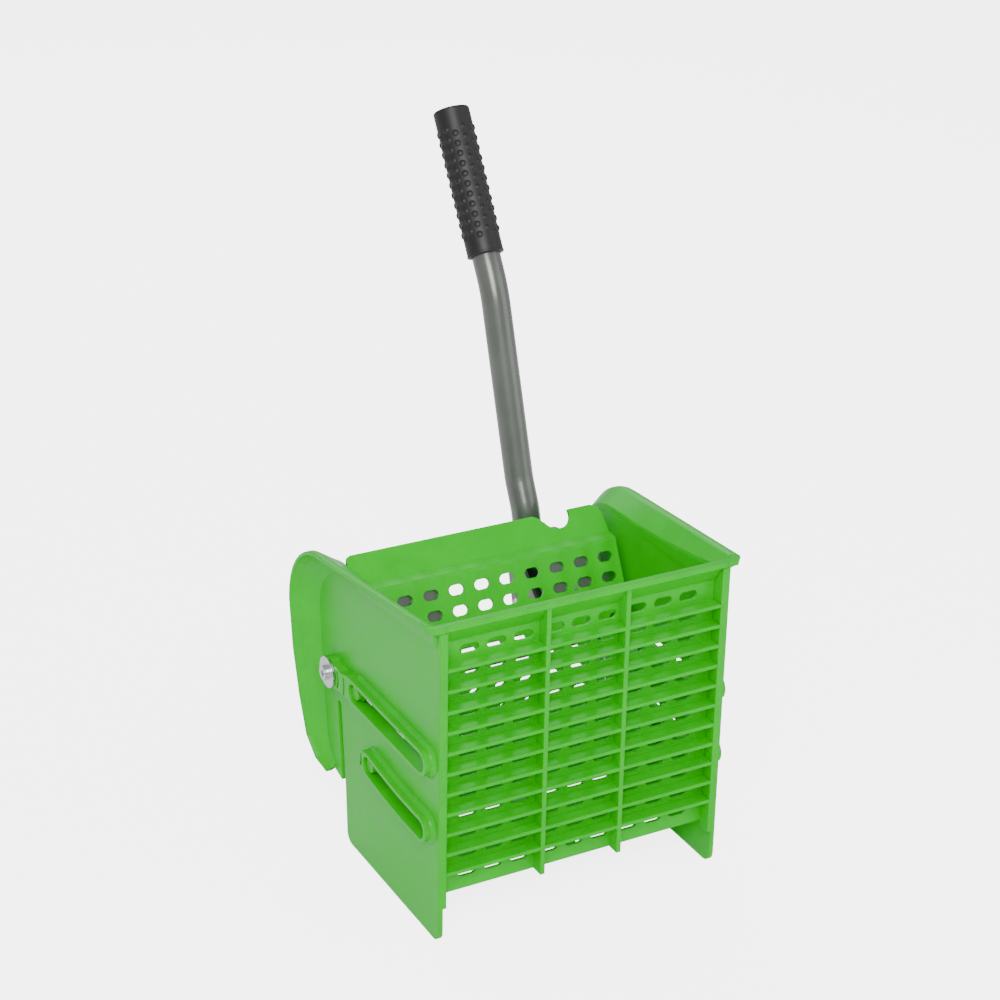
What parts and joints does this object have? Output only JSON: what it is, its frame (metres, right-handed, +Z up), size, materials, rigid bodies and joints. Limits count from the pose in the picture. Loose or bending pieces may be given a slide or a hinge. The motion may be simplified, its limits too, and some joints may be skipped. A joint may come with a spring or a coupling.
{
  "type": "mop press wringer",
  "caption": "Green moulded press wringer for a mop bucket: slotted grille, perforated press plate on guide pins, and a bent steel lever with a rubber grip.",
  "frame": {"origin": "bottom centre of the bounding box: on the surface that the cheeks stand on", "axes": "+X towards the handle's side (right, seen from the grille), +Y from the grille towards the back, +Z up"},
  "size_m": [0.2958, 0.4017, 0.5647],
  "materials": {
    "cage_plastic": "satin moulded polypropylene",
    "plate_plastic": "satin moulded polypropylene",
    "guide_plastic": "moulded guide shoe",
    "bush_plastic": "natural moulded bearing plastic",
    "zinc_steel": "bright zinc plate",
    "painted_steel": "smooth grey powder coat",
    "grip_rubber": "moulded rubber"
  },
  "bodies": {
    "frame": {"front_grille": "cage_plastic", "left_cheek": "cage_plastic", "right_cheek": "cage_plastic", "drain_floor": "cage_plastic", "pivot_bush_left": "bush_plastic", "pivot_bush_right": "bush_plastic"},
    "upper_guide": {"upper_guide_rod": "zinc_steel", "upper_guide_left": "guide_plastic", "upper_guide_right": "guide_plastic"},
    "press_plate": {"press_plate": "plate_plastic", "drive_yoke_left": "painted_steel", "drive_yoke_right": "painted_steel", "yoke_screws": "zinc_steel", "lower_guide_rod": "zinc_steel", "lower_guide_left": "guide_plastic", "lower_guide_right": "guide_plastic"},
    "lever": {"pivot_shaft": "painted_steel", "crank_arm_left": "painted_steel", "crank_arm_right": "painted_steel", "crank_pin_left": "zinc_steel", "crank_pin_right": "zinc_steel", "pivot_washer_left": "zinc_steel", "pivot_washer_right": "zinc_steel", "pivot_screw_left": "zinc_steel", "pivot_screw_right": "zinc_steel", "handle_bracket": "painted_steel", "bracket_bolts": "zinc_steel", "bracket_nuts": "zinc_steel", "handle_tube": "painted_steel", "handle_grip": "grip_rubber"}
  },
  "joints": [
    {"name": "lever_pivot", "type": "hinge", "parent": "frame", "child": "lever", "pos_m": [0, -0.01382, 0.1563], "axis": [1, 0, 0], "range_deg": [0, 76]},
    {"name": "guide_slide", "type": "slide", "parent": "frame", "child": "upper_guide", "axis": [0, -1, 0], "range_m": [0, 0.1061]},
    {"name": "plate_tilt", "type": "hinge", "parent": "upper_guide", "child": "press_plate", "pos_m": [0, -0.06002, 0.158], "axis": [1, 0, 0], "range_deg": [0, 26.05]}
  ],
  "couplings": [
    {"joint": "guide_slide", "follows": "lever_pivot", "m_per_rad": 0.079912},
    {"joint": "plate_tilt", "follows": "lever_pivot", "ratio": 0.34211}
  ]
}
